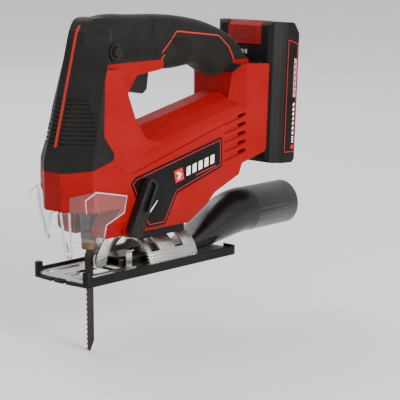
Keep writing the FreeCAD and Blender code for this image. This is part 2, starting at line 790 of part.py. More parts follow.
def build_carrier():
    rod = size("rod_radius")
    pivot = size("carrier_pivot")
    spine = solid_box(-13, -9.4, -7, 7, 79, 140)
    body = spine
    for low, high in ((79, 89), (128, 140)):
        eye = solid_box(-10, 0, -9.4, 9.4, low, high).fuse(solid_cylinder(9.4, high - low, (0, 0, low)))
        body = body.fuse(eye)
    bores = [solid_cylinder(rod + 2.4, 10.5, (0, 0, 78.5)), solid_cylinder(rod + 2.4, 13, (0, 0, 127.5))]
    studs = [solid_cylinder(3 - size("running_gap"), 5.2, (0, 8.8, pivot), (0, 1, 0)),
             solid_cylinder(3 - size("running_gap"), 5.2, (0, -14, pivot), (0, 1, 0))]
    feature("guide_carrier", body.cut(bores).fuse(studs))
    bush = "Sizes.rod_radius + 2.4"
    bore = "Sizes.rod_radius + Sizes.running_gap"
    pair = join("guide_bushes", ring("bush_low", bush, bore, "10", (0, 0, 79), (0, 0, 1)),
                ring("bush_high", bush, bore, "12", (0, 0, 128), (0, 0, 1)))
    node(pair, "guide_bushes")


def coil(radius, wire, pitch, halves, base):
    """A spring with its axis up, standing on base: each half turn is half a ring between two heights."""
    rings = []
    for k in range(halves):
        side = 1 if k % 2 == 0 else -1
        start = Vector(side * radius, 0, pitch * k / 2)
        end = Vector(-side * radius, 0, pitch * (k + 1) / 2)
        disc = Part.Face(Part.Wire([Part.makeCircle(wire, start, Vector(0, 1, 0))]))
        rings.append(disc.revolve((start + end) * 0.5, Vector(0, side, 0).cross(end - start), 180))
    spring = rings[0].multiFuse(rings[1:])
    spring.translate(Vector(*base))
    return spring


def build_plunger():
    rod = size("rod_radius")
    yoke_height = size("gear_height") - size("crank_throw")
    bar = solid_cylinder(rod, size("rod_top") - size("rod_bottom"), (0, 0, size("rod_bottom")))
    yoke = rear_prism([(-18, yoke_height - 6, 2), (18, yoke_height - 6, 2), (18, yoke_height + 6, 2),
                       (-18, yoke_height + 6, 2)], 1, 8)
    slot = rear_prism([(-14.4, yoke_height - 4.2, 4), (14.4, yoke_height - 4.2, 4),
                       (14.4, yoke_height + 4.2, 4),
                       (-14.4, yoke_height + 4.2, 4)], 3.6, 9)
    feature("plunger", bar.fuse(yoke).cut(slot))

    top = size("chuck_top_radius")
    low = size("chuck_radius")
    body = turned([(0, 57), (top - 0.6, 57), (top, 56.2), (low, 38.4), (low - 0.5, 37.8), (low - 0.5, 37),
                   (low, 36.4), (low, 31), (low - 0.7, 31), (low - 0.7, 36), (4.3, 36), (4.3, 21.5),
                   (0, 21.5)])
    body = body.cut(solid_cylinder(rod, 20, (0, 0, size("rod_bottom"))))
    slit = size("blade_thick") / 2 + size("running_gap")
    body = body.cut(solid_box(-3.4, 3.4, -slit, slit, 20, 45))
    feature("blade_chuck", body)

    outer = size("sleeve_radius")
    sleeve = turned([(4.4, 22), (outer - 0.5, 22), (outer, 22.6), (outer, 30), (outer - 0.4, 30.8),
                     (4.4, 30.8)])
    for step in range(24):
        groove = solid_cylinder(0.35, 6, (outer + 0.15, 0, 23.2))
        groove.rotate(Vector(0, 0, 0), Vector(0, 0, 1), 15 * step)
        sleeve = sleeve.cut(groove)
    feature("clamp_sleeve", sleeve)

    feature("clamp_spring", coil(5.0, 0.4, 1.05, 8, (0, 0, 31.4)))


def build_blade():
    half = size("blade_thick") / 2
    back = 3.8
    front = back - size("blade_width")
    tip = size("blade_tip")
    pitch = size("tooth_pitch")
    points = [(-3.2, 41), (-2.6, 44), (2.6, 44), (3.2, 41), (3.2, 38), (2.6, 36), (2.6, 20.6), (back, 18),
              (back, tip + 8), (front + 3.6, tip)]
    teeth = 13
    lowest = tip + 2.4
    for step in range(teeth):
        height = lowest + pitch * step
        points.append((front + 0.2, height))
        points.append((front + 1.9, height + 1.0))
        points.append((front + 1.3, height + pitch - 0.5))
    points += [(front, lowest + pitch * teeth + 0.4), (front, 18), (-2.6, 20.6), (-2.6, 36), (-3.2, 38)]
    feature("saw_blade", side_prism(points, -half, half))


def build_fork():
    place = size("roller_place")
    low = size("roller_height")
    top = size("fork_pivot")
    plate = side_prism([(19.5, top + 3.5, 3.2), (12.5, top + 3.5, 3.2), (13, 30, 10),
                        (place - 5.2, low + 4, 4),
                        (place - 4.4, low - 4.6, 4.2), (place + 5.2, low - 4.4, 4.2), (18, 24, 8)], 3.0, 4.6)
    arms = plate.fuse([mirrored(plate), solid_box(15, 18.6, -3.2, 3.2, 28, 44)])
    arms = arms.cut(solid_cylinder(2.05, 30, (16, -15, top), (0, 1, 0)))
    arms = arms.cut(solid_cylinder(2, 30, (place, -15, low), (0, 1, 0)))
    feature("roller_fork", arms)
    node(cylinder("fork_pivot", "2", "16", (16, -8, top), (0, 1, 0)), "fork_pivot")
    pin = join("roller_pin", cylinder("pin_shank", "2", "10.4", (place, -5.2, low), (0, 1, 0)),
               cylinder("pin_head", "3.2", "1.2", (place, -5.8, low), (0, 1, 0)),
               cylinder("pin_foot", "3.2", "1.2", (place, 4.6, low), (0, 1, 0)))
    node(pin, "roller_pin")
    radius = size("roller_radius")
    wheel = turned([(2.05, -2.6), (radius - 0.5, -2.6), (radius, -2.1), (radius, -1.3), (4.7, -0.95),
                    (4.7, 0.95),
                    (radius, 1.3), (radius, 2.1), (radius - 0.5, 2.6), (2.05, 2.6)])
    wheel.rotate(Vector(0, 0, 0), Vector(1, 0, 0), 90)
    wheel.translate(Vector(place, 0, low))
    feature("guide_roller", wheel)


def build_lever():
    """The orbit lever on the left side and the shaft that carries its cam inwards."""
    hub_x, hub_z = LEVER_HUB
    reach = math.hypot(LEVER_TIP[0] - hub_x, LEVER_TIP[1] - hub_z)
    lean = math.degrees(math.atan2(LEVER_TIP[0] - hub_x, LEVER_TIP[1] - hub_z))
    owner = DOC.addObject("PartDesign::Body", "orbit_lever")
    bar = [(-6.6, -6.6, 5.8), (6.6, -6.6, 5.8), (5.8, reach + 5.8, 5.0), (-5.8, reach + 5.8, 5.0)]
    pad(owner, draw(sketch(owner, "XZ_Plane", 31.6), bar), "6")
    dish = [(-3.2, 15, 2.6), (3.2, 15, 2.6), (3.2, reach + 3.2, 2.6), (-3.2, reach + 3.2, 2.6)]
    pocket(owner, draw(sketch(owner, "XZ_Plane", 37.6), dish), "3.4")
    owner.Placement = Placement(Vector(hub_x, 0, hub_z), Rotation(Vector(0, 1, 0), lean))
    node(owner, "orbit_lever")
    shaft = join("lever_shaft", cylinder("shaft_bar", "3", "24.4", (hub_x, -31.6, hub_z), (0, 1, 0)),
                 cylinder("shaft_cam", "1.6", "3", (hub_x + 1, -9.6, hub_z), (0, 1, 0)))
    node(shaft, "lever_shaft")


# ---------------------------------------------------------------------------------------------
# Controls

TRIGGER = [
    (22.4, 158.2, 1.5), (22.4, 165, 1.5), (60, 165, 2), (61.4, 158, 2), (59.2, 143, 3), (54, 139.5, 3),
    (45, 144, 14), (34, 140.6, 3), (31.4, 150, 4), (31.4, 158.2, 1),
]


def build_controls():
    owner = DOC.addObject("PartDesign::Body", "trigger")
    pad(owner, draw(sketch(owner, "XZ_Plane"), TRIGGER), "12", "Symmetric")
    pin_hole = draw_circle(sketch(owner, "XZ_Plane", 10), "1.5 + Sizes.running_gap", *TRIGGER_PIVOT)
    pocket(owner, pin_hole, "20")
    node(owner, "trigger")
    node(cylinder("trigger_pin", "1.5", "33.6", (TRIGGER_PIVOT[0], -16.8, TRIGGER_PIVOT[1]), (0, 1, 0)),
         "trigger_pin")
    feature("trigger_spring", coil(2.2, 0.35, 1.5, 9, (50, 0, 165.5)))

    owner = DOC.addObject("PartDesign::Body", "switch_module")
    block = [(22, 173.3, 1), (66, 173.3, 1), (66, 190, 3), (24, 192, 3)]
    pad(owner, draw(sketch(owner, "XZ_Plane"), block), "16", "Symmetric")
    groove = draw_rectangle(sketch(owner, "XZ_Plane", 8), "30", "3", 29, 180)
    pocket(owner, groove, "1")
    node(owner, "switch_module")

    lock_x, lock_z = LOCK_BUTTON
    bar = cylinder("lock_bar", "4.2", "50", (lock_x, -28, lock_z), (0, 1, 0))
    neck = ring("lock_neck", "4.6", "2.6", "9", (lock_x, -4.5, lock_z), (0, 1, 0))
    node(cut("lock_button", bar, neck), "lock_button")

    owner = DOC.addObject("PartDesign::Body", "control_board")
    pad(owner, draw_rectangle(sketch(owner, "YZ_Plane", 126), "53", "38", -26.5, 67), "1.6")
    pad(owner, draw_rectangle(sketch(owner, "YZ_Plane", 127.6), "9", "9", -16, 78), "2")
    pad(owner, draw_rectangle(sketch(owner, "YZ_Plane", 127.6), "16", "8", 2, 90), "3.5")
    node(owner, "control_board")

    block = solid_box(-9, -3.4, -15, 15, -41.9, -38).fuse(solid_box(-12, -8.8, -10, 10, -41, -38.4))
    for place in (-9, -3, 3, 9):
        block = block.fuse(solid_box(-6.6, -5.8, place - 1.6, place + 1.6, -38.5, -22))
    feature("terminal_block", block, PACK)

    screws = []
    for x, z in SCREWS:
        screw = solid_cylinder(1.5, 22.4, (x, -12, z), (0, 1, 0))
        screw = screw.fuse(solid_cylinder(3, 2.2, (x, 10, z), (0, 1, 0)))
        socket = plan_prism([(1.4 * math.cos(math.radians(60 * k)), 1.4 * math.sin(math.radians(60 * k)))
                             for k in range(6)], 0, 3)
        socket.rotate(Vector(0, 0, 0), Vector(1, 0, 0), 90)
        socket.translate(Vector(x, 13.6, z))
        screws.append(screw.cut(socket))
    feature("housing_screws", Part.makeCompound(screws))
    feature("wire_guard", wire_guard_shape())


# ---------------------------------------------------------------------------------------------
# Foot, bevel arch and clamp

BLADE_SLOT = [
    (-24, -5, 3), (-6, -5, 0), (-6, -12.5, 3), (24, -12.5, 3), (24, 12.5, 3), (-6, 12.5, 3), (-6, 5, 0),
    (-24, 5, 3),
]


def foot_outline(edge):
    """The sole's plan, drawn in by edge: a bowed front and rounded rear corners."""
    front = size("foot_front") + edge
    rear = size("foot_rear") - edge
    half = size("foot_half") - edge
    return [(front + 2.6, -half, 3), (front, 0, 120), (front + 2.6, half, 3), (rear, half, 6),
            (rear, -half, 6)]


def hinge_arc(shape):
    shape.translate(Vector(0, 0, size("bevel_height")))
    return shape


def build_foot():
    base = size("shoe_base")
    half = size("foot_half")
    front = size("foot_front")
    rear = size("foot_rear")
    rim_top = size("shoe_rim")

    owner = DOC.addObject("PartDesign::Body", "foot_shoe")
    pad(owner, draw(sketch(owner, "XY_Plane"), foot_outline(0)), "Sizes.shoe_base")
    for side in (-1, 1):
        rim = [(front + 2.6, side * half, 3), (rear, side * half, 6), (rear, side * 16),
               (rear - 2, side * 16),
               (rear - 2, side * (half - 2), 4), (front + 8, side * (half - 2)),
               (front + 8, side * (half - 5)),
               (front + 2.2, side * (half - 5))]
        pad(owner, draw(sketch(owner, "XY_Plane", base - 0.2), rim), f"{rim_top - base + 0.2}")
        post = [(front + 2.6, side * half, 3), (front + 8, side * half), (front + 8, side * (half - 5)),
                (front + 2.2, side * (half - 5))]
        pad(owner, draw(sketch(owner, "XY_Plane", rim_top - 0.2), post), "5.2")
        notch = [(front - 2, side * 5), (front + 6, side * 5, 1.2), (front + 6, side * 8.4, 1.2),
                 (front - 2, side * 8.4)]
        pocket(owner, draw(sketch(owner, "XY_Plane", base + 1), notch), "6")
    pocket(owner, draw(sketch(owner, "XY_Plane", base + 1), BLADE_SLOT), "6")
    node(owner, "foot_shoe")

    owner = DOC.addObject("PartDesign::Body", "plate_sheet")
    plate = [(front + 8.2, -half + 2.2, 0), (front + 8.2, -half + 5.2, 0), (front + 4.4, -half + 5.2, 0),
             (front + 3, 0, 120), (front + 4.4, half - 5.2, 0), (front + 8.2, half - 5.2, 0),
             (front + 8.2, half - 2.2, 0), (rear - 2.2, half - 2.2, 4), (rear - 2.2, -half + 2.2, 4)]
    pad(owner, draw(sketch(owner, "XY_Plane", base), plate), "Sizes.plate_thick")
    pocket(owner, draw(sketch(owner, "XY_Plane", 8), BLADE_SLOT), "8")
    holes = sketch(owner, "XY_Plane", 8)
    for x, y in RIVETS:
        draw_circle(holes, "1.2", x, y)
    pocket(owner, holes, "8")
    top = base + size("plate_thick")
    ribs = [cylinder(f"plate_rib_{name}", "1.8", "32", (-26, y, top - 0.4), (1, 0, 0))
            for name, y in (("left", -19), ("right", 19))]
    node(join("foot_plate", owner, *ribs), "foot_plate")

    radius = size("arch_radius")
    inner = radius - size("arch_thick")
    begin = size("arch_front")
    end = size("arch_rear")
    arch = solid_cylinder(radius, end - begin, (begin, 0, 0), (1, 0, 0))
    arch = arch.cut(solid_cylinder(inner, 80, (begin - 5, 0, 0), (1, 0, 0)))
    for place in (CLAMP_SCREW, DETENT_SLOT):
        wedge = rear_prism([(0, 0), (-40, 40 / math.tan(math.radians(60))), (-40, 60), (40, 60),
                            (40, 40 / math.tan(math.radians(60)))], place - 5, place + 5)
        arch = arch.cut(wedge)
    for step in range(-13, 14):
        if abs(step) < 5:
            continue
        notch = solid_box(begin - 1, begin + 1.6, -1.0, 1.0, inner - 2, radius + 2)
        notch.rotate(Vector(0, 0, 0), Vector(1, 0, 0), 6 * step)
        arch = arch.cut(notch)
    arch = hinge_arc(arch).common(solid_box(0, 200, -40, 40, top + 0.01, 60))
    for side in (-1, 1):
        flange = plan_prism([(begin + 2, side * (inner - 0.5)), (begin + 2, side * (half - 2.6), 3),
                             (end - 2, side * (half - 2.6), 3), (end - 2, side * (inner - 0.5))], top + 0.01,
                             top + 1.8)
        arch = arch.fuse(flange)
    for x, y in RIVETS:
        arch = arch.cut(solid_cylinder(1.2, 10, (x, y, 0)))
    feature("bevel_arch", arch)

    rivets = [turned([(0, base + 0.1), (1.2, base + 0.1), (1.2, top + 1.8), (1.7, top + 1.8),
                      (1.6, top + 2.2),
                      (1.0, top + 2.7), (0, top + 2.9)]).translated(Vector(x, y, 0)) for x, y in RIVETS]
    feature("arch_rivets", Part.makeCompound(rivets))

    clip = rear_prism([(14, top + 0.01), (20, top + 0.01), (20, top + 1.2), (15.4, top + 1.2), (15.4, 17, 1),
                       (17.6, 17, 1), (17.6, 19, 1), (14, 19, 2)], 26, 32)
    feature("duct_clips", Part.makeCompound([clip, mirrored(clip)]))

    block = solid_box(45, 95, -12.5, 12.5, 20, size("body_bottom"))
    block = block.cut(hinge_arc(solid_cylinder(radius + 0.4, 80, (40, 0, 0), (1, 0, 0))))
    lug = solid_box(DETENT_SLOT - 3.5, DETENT_SLOT + 3.5, -3.2, 3.2, 20, 30)
    lug = lug.cut(hinge_arc(solid_cylinder(inner + 0.6, 80, (40, 0, 0), (1, 0, 0))))
    block = block.fuse(lug).cut(solid_cylinder(2.6, 30, (CLAMP_SCREW, 0, 10)))
    feature("saddle_block", block)

    grip = solid_cylinder(inner - 0.3, 18, (CLAMP_SCREW - 5, 0, 0), (1, 0, 0))
    grip = grip.cut(solid_cylinder(inner - 2.8, 30, (CLAMP_SCREW - 9, 0, 0), (1, 0, 0)))
    grip = hinge_arc(grip).common(solid_box(0, 100, -9, 9, 10, 40))
    feature("clamp_plate", grip.cut(solid_cylinder(2.6, 30, (CLAMP_SCREW, 0, 10))))

    head = cylinder("clamp_head", "4.2", "2.6", (CLAMP_SCREW, 0, 19.2))
    shank = cylinder("clamp_shank", "2.5", "28", (CLAMP_SCREW, 0, 20))
    socket = DOC.addObject("Part::Prism", "clamp_socket")
    socket.Placement = Placement(Vector(CLAMP_SCREW, 0, 18), Rotation())
    bind(socket, Circumradius="2.2", Height="3.6")
    node(cut("clamp_screw", join("clamp_blank", head, shank), socket), "clamp_screw")
    nut = DOC.addObject("Part::Prism", "clamp_nut_blank")
    nut.Placement = Placement(Vector(CLAMP_SCREW, 0, 40), Rotation())
    bind(nut, Circumradius="5", Height="4")
    bore = cylinder("clamp_nut_bore", "2.5", "6", (CLAMP_SCREW, 0, 39))
    node(cut("clamp_nut", nut, bore), "clamp_nut")


# ---------------------------------------------------------------------------------------------
# Dust tube and guard

def tube_section(place, half, tall, height):
    corner = min(half, tall) * 0.96
    wire = plan_wire([(-half, -tall, corner), (half, -tall, corner), (half, tall, corner),
                      (-half, tall, corner)])
    wire.rotate(Vector(0, 0, 0), Vector(1, 1, 1), 120)
    wire.translate(Vector(place, 0, height))
    return wire


def build_tube():
    wall = size("tube_radius") - size("tube_bore")
    radius = size("tube_radius")
    height = size("tube_height")
    shoulder = size("tube_shoulder")
    end = size("tube_end")
    low = size("shoe_base") + size("plate_thick") + size("running_gap")
    duct_high = 12.5
    middle = (low + duct_high) / 2
    deep = (duct_high - low) / 2
    rows = [(98, 12, deep, middle), (118, 14.5, 8.4, 13.4), (143, 17.4, 16, 21.7), (164, 18.8, 18.6, 27.2),
            (shoulder, radius, radius, height)]
    outer = Part.makeLoft([tube_section(*row) for row in rows], True, False)
    thin = [(x, half - wall, tall - wall * 0.7, z) for x, half, tall, z in rows]
    inner = Part.makeLoft([tube_section(*row) for row in thin], True, False)
    duct = rear_prism([(-12, low, 1), (12, low, 1), (12, duct_high, 3), (-12, duct_high, 3)], 22, 99)
    throat = rear_prism([(-10.4, low + 1.4), (10.4, low + 1.4), (10.4, duct_high - 1.4, 2),
                         (-10.4, duct_high - 1.4, 2)], 20, 100)
    spout = solid_cylinder(radius, end - shoulder, (shoulder, 0, height), (1, 0, 0))
    bore = solid_cylinder(size("tube_bore"), end - shoulder + 9, (shoulder - 1, 0, height), (1, 0, 0))
    tube = outer.fuse([duct, spout]).cut(inner).cut(throat).cut(bore)
    feature("dust_tube", tube)


GUARD_SIDE = [
    (-60, 25), (-60, 56.6), (-33.6, 56.6), (-33.6, 69, 2), (-21, 74, 5), (12, 67, 2), (8.5, 53, 3),
    (-10.5, 46, 4),
    (-13, 36, 3), (-16, 33), (-16, 25),
]


def guard_form(gap):
    front = size("nose_front")
    half = size("body_half")
    levels = [(front - 1.4, half, 76), (front - 0.9, half, 56), (front + 7.5, half, 24)]
    return Part.makeLoft([nose_section(f, w, z, -gap) for f, w, z in levels], True, True)


def build_guard():
    shell = guard_form(1.9).cut(guard_form(0.4)).common(side_prism(GUARD_SIDE, -50, 50))
    for side in (-1, 1):
        skirt = solid_box(-60, 60, 9.5, 60, 20, 33)
        shell = shell.cut(skirt if side > 0 else mirrored(skirt))
    feature("clear_guard", biggest(shell))


# ---------------------------------------------------------------------------------------------
# Battery pack, drawn in its own leaning frame

PACK_SIDE = [
    (0.4, -56, 1), (4, -60, 2), (26, -60, 4), (32, -54, 4), (32, 46, 6), (22, 59, 4), (3, 59, 2),
    (0.4, 56, 1),
]
PACK_PLAN = [(0.4, 27), (3, 31), (10, 34.5), (13, 37), (29, 37, 2), (32, 34, 2)]
PACK_HOLLOW = [(3, 28), (8.8, 32.7), (13, 34.5), (29.5, 34.5)]
RELEASE = [(0.6, 39, 1), (0.6, 55, 2), (4, 59.6, 2), (13, 59.6, 1.5), (13, 50, 2), (8, 39, 1)]


def both_sides(half_plan):
    """Closes a half plan (x, y, radius) by its mirror image."""
    near = [(row[0], -row[1]) + tuple(row[2:]) for row in half_plan]
    far = [tuple(row) for row in reversed(half_plan)]
    return near + far


def build_battery():
    bottom = size("pack_bottom")
    top = size("pack_top")
    radius = size("cell_radius")
    length = size("cell_length")
    body = plan_prism(both_sides(PACK_PLAN), bottom, top).common(side_prism(PACK_SIDE, -40, 40))
    hollow = plan_prism(both_sides(PACK_HOLLOW), bottom + 2.4, top - 3)
    hollow = hollow.cut(solid_box(0, 18.4, -21, 21, 35.8, 70))
    slot = solid_box(-1, 16.6, -19.05, 19.05, 38.6, 70)
    body = body.cut([hollow, slot])
    body = body.cut(solid_cylinder(2.65, 6, (-1, -8, 33), (1, 0, 0)))
    rail = solid_box(-3.8, 0.6, -21.5, 21.5, -37.5, 26).fuse(solid_box(-9, -3.6, -25, 25, -37.5, 26))
    front = body.common(solid_box(-2, 9, -40, 40, -70, 70)).fuse(rail)
    for place in (-9, -3, 3, 9):
        front = front.cut(solid_box(-7.2, -5.2, place - 2.4, place + 2.4, -40, -18))
    rear = body.common(solid_box(9, 40, -40, 40, -70, 70))
    feature("battery_front_case", biggest(front), PACK)
    feature("battery_rear_case", biggest(rear), PACK)

    cells = [solid_cylinder(radius, length, (18.2, -length / 2, -48 + 18.5 * i), (0, 1, 0)) for i in range(5)]
    feature("battery_cells", Part.makeCompound(cells), PACK)
    straps = []
    for side in (-1, 1):
        for first in ((0, 2) if side < 0 else (1, 3)):
            low = -48 + 18.5 * first
            strap = solid_box(14.5, 21.9, length / 2, length / 2 + 0.3, low - 3, low + 21.5)
            straps.append(strap if side > 0 else mirrored(strap))
    feature("cell_straps", Part.makeCompound(straps), PACK)

    board = DOC.addObject("Part::Box", "battery_board")
    board.Placement = PACK.multiply(Placement(Vector(4.4, -24, -50), Rotation()))
    bind(board, Length="1.6", Width="48", Height="80")
    node(board, "battery_board")

    button = side_prism(RELEASE, -18.9, 18.9)
    for step in range(5):
        button = button.cut(solid_box(0, 1.2, -13, 13, 42.4 + 2.6 * step, 43.4 + 2.6 * step))
    feature("release_button", button, PACK)
    gauge = cylinder("gauge_button", "2.6", "2.4", (0, 0, 0), (1, 0, 0))
    gauge.Placement = PACK.multiply(Placement(Vector(0.2, -8, 33), Rotation(Vector(0, 1, 0), 90)))
    node(gauge, "gauge_button")

    panel = side_prism([(13.8, -52, 2), (28.4, -52, 2), (28.4, 42, 4), (13.8, 46, 3)],
                       size("pack_half") + 0.01,
                       size("pack_half") + 0.25)
    feature("battery_label", Part.makeCompound([panel, mirrored(panel)]), PACK)


def check_and_export():
    DOC.recompute()
    for obj in DOC.Objects:
        if "Invalid" in obj.State or "Error" in obj.State:
            raise RuntimeError(f"{obj.Label}: {obj.State}")
    for obj in NODES:
        if obj.Shape.isNull() or not obj.Shape.isValid():
            raise RuntimeError(f"{obj.Label}: the shape is null or invalid")
    os.makedirs("parts", exist_ok=True)
    for obj in NODES:
        obj.Shape.exportStep(f"parts/{obj.Label}.step")


build_housing()
build_motor()
build_crank()
build_gearbox_frame()
build_carrier()
build_plunger()
build_blade()
build_fork()
build_lever()
build_controls()
build_foot()
build_tube()
build_guard()
build_battery()
check_and_export()
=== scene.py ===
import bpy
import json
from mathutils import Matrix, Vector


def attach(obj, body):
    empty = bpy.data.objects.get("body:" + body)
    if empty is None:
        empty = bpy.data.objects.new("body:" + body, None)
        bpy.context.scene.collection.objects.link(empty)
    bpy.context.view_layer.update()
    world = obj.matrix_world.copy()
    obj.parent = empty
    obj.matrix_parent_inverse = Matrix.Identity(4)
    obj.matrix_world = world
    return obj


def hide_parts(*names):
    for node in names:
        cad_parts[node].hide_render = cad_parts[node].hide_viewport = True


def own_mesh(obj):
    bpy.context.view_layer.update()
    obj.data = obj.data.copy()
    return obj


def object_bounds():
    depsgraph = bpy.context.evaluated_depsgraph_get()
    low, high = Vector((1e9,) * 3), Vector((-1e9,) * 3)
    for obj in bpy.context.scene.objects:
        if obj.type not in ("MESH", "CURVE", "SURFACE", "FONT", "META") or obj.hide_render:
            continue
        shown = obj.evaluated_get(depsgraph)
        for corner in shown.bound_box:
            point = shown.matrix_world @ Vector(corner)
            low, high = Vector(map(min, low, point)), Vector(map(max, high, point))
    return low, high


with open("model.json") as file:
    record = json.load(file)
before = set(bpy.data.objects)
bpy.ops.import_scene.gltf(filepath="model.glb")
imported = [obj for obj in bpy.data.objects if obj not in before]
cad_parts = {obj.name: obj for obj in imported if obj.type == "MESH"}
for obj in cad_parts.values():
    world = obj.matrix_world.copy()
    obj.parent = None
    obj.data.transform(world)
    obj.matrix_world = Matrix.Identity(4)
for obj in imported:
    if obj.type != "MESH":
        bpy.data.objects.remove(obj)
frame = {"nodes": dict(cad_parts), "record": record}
cad_box = [list(corner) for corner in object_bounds()]

import json
import math

import bmesh
import bpy
from mathutils import Matrix, Vector
from mathutils.bvhtree import BVHTree

NODES = frame["nodes"]
MM = 0.001
LEFT = -1
RIGHT = 1


# ---------------------------------------------------------------------------------------------
# Materials: every one is a Principled shader with its own colour mottling, roughness and bump

def new_material(name, colour, roughness, metallic=0.0, coat=0.0, specular=0.5):
    """A node material with its plain values set on the shader itself.

    Returns (material, nodes, links, shader).
    """
    material = bpy.data.materials.new(name)
    material.use_nodes = True
    nodes = material.node_tree.nodes
    links = material.node_tree.links
    shader = nodes["Principled BSDF"]
    shader.inputs["Base Color"].default_value = (*colour, 1.0)
    shader.inputs["Roughness"].default_value = roughness
    shader.inputs["Metallic"].default_value = metallic
    shader.inputs["Specular IOR Level"].default_value = specular
    shader.inputs["Coat Weight"].default_value = coat
    shader.inputs["Coat Roughness"].default_value = 0.12
    return material, nodes, links, shader


def object_noise(nodes, links, scale, detail, stretch=(1, 1, 1)):
    """Noise over the piece's own coordinates, in metres, stretched per axis."""
    coordinates = nodes.new("ShaderNodeTexCoord")
    mapping = nodes.new("ShaderNodeMapping")
    mapping.inputs["Scale"].default_value = stretch
    noise = nodes.new("ShaderNodeTexNoise")
    noise.inputs["Scale"].default_value = scale
    noise.inputs["Detail"].default_value = detail
    links.new(coordinates.outputs["Object"], mapping.inputs["Vector"])
    links.new(mapping.outputs["Vector"], noise.inputs["Vector"])
    return noise


def mottle(nodes, links, shader, colour, scale, amount, stretch=(1, 1, 1)):
    """Slow variation of the colour, darker and lighter by amount."""
    noise = object_noise(nodes, links, scale, 3.0, stretch)
    ramp = nodes.new("ShaderNodeValToRGB")
    ramp.color_ramp.elements[0].position = 0.3
    ramp.color_ramp.elements[1].position = 0.7
    dark = [c * (1 - amount) for c in colour]
    light = [min(1.0, c * (1 + amount) + 0.004) for c in colour]
    ramp.color_ramp.elements[0].color = (*dark, 1)
    ramp.color_ramp.elements[1].color = (*light, 1)
    links.new(noise.outputs["Fac"], ramp.inputs["Fac"])
    links.new(ramp.outputs["Color"], shader.inputs["Base Color"])


def rough_range(nodes, links, shader, low, high, scale, stretch=(1, 1, 1)):
    """Roughness that wanders between low and high over the surface."""
    noise = object_noise(nodes, links, scale, 5.0, stretch)
    spread = nodes.new("ShaderNodeMapRange")
    spread.inputs["From Min"].default_value = 0.3
    spread.inputs["From Max"].default_value = 0.7
    spread.inputs["To Min"].default_value = low
    spread.inputs["To Max"].default_value = high
    links.new(noise.outputs["Fac"], spread.inputs["Value"])
    links.new(spread.outputs["Result"], shader.inputs["Roughness"])


def grain(nodes, links, shader, scale, strength, depth, stretch=(1, 1, 1)):
    """Fine bump, depth in metres."""
    noise = object_noise(nodes, links, scale, 2.0, stretch)
    bump = nodes.new("ShaderNodeBump")
    bump.inputs["Strength"].default_value = strength
    bump.inputs["Distance"].default_value = depth
    links.new(noise.outputs["Fac"], bump.inputs["Height"])
    links.new(bump.outputs["Normal"], shader.inputs["Normal"])


def moulded(name, colour, roughness=0.42, grain_scale=1800, depth=0.00006, coat=0.0, amount=0.08,
            specular=0.25):
    """Moulded plastic with a fine grain."""
    material, nodes, links, shader = new_material(name, colour, roughness, 0.0, coat, specular)
    mottle(nodes, links, shader, colour, 30, amount)
    rough_range(nodes, links, shader, roughness - 0.06, roughness + 0.08, 60)
    grain(nodes, links, shader, grain_scale, 0.35, depth)
    return material


def metal(name, colour, roughness=0.32, brush=(1, 14, 14), depth=0.00003, amount=0.12):
    """Metal whose mottling, roughness and grain are stretched along its brushing."""
    material, nodes, links, shader = new_material(name, colour, roughness, 1.0)
    mottle(nodes, links, shader, colour, 45, amount, brush)
    rough_range(nodes, links, shader, roughness - 0.08, roughness + 0.12, 120, brush)
    grain(nodes, links, shader, 900, 0.25, depth, brush)
    return material


def rubber(name, colour):
    """Soft grip rubber, rough and a little dusty at its edges."""
    material, nodes, links, shader = new_material(name, colour, 0.62, specular=0.15)
    shader.inputs["Sheen Weight"].default_value = 0.05
    shader.inputs["Sheen Roughness"].default_value = 0.5
    mottle(nodes, links, shader, colour, 25, 0.12)
    rough_range(nodes, links, shader, 0.58, 0.78, 80)
    grain(nodes, links, shader, 2600, 0.5, 0.00009)
    return material


def clear_plastic(name):
    """Clear polycarbonate. Its low index keeps what is behind it from bending out of sight."""
    material, nodes, links, shader = new_material(name, (0.95, 0.96, 0.955), 0.05)
    shader.inputs["Transmission Weight"].default_value = 0.97
    shader.inputs["IOR"].default_value = 1.2
    shader.inputs["Specular IOR Level"].default_value = 0.35
    rough_range(nodes, links, shader, 0.01, 0.05, 70)
    grain(nodes, links, shader, 300, 0.08, 0.00003)
    return material


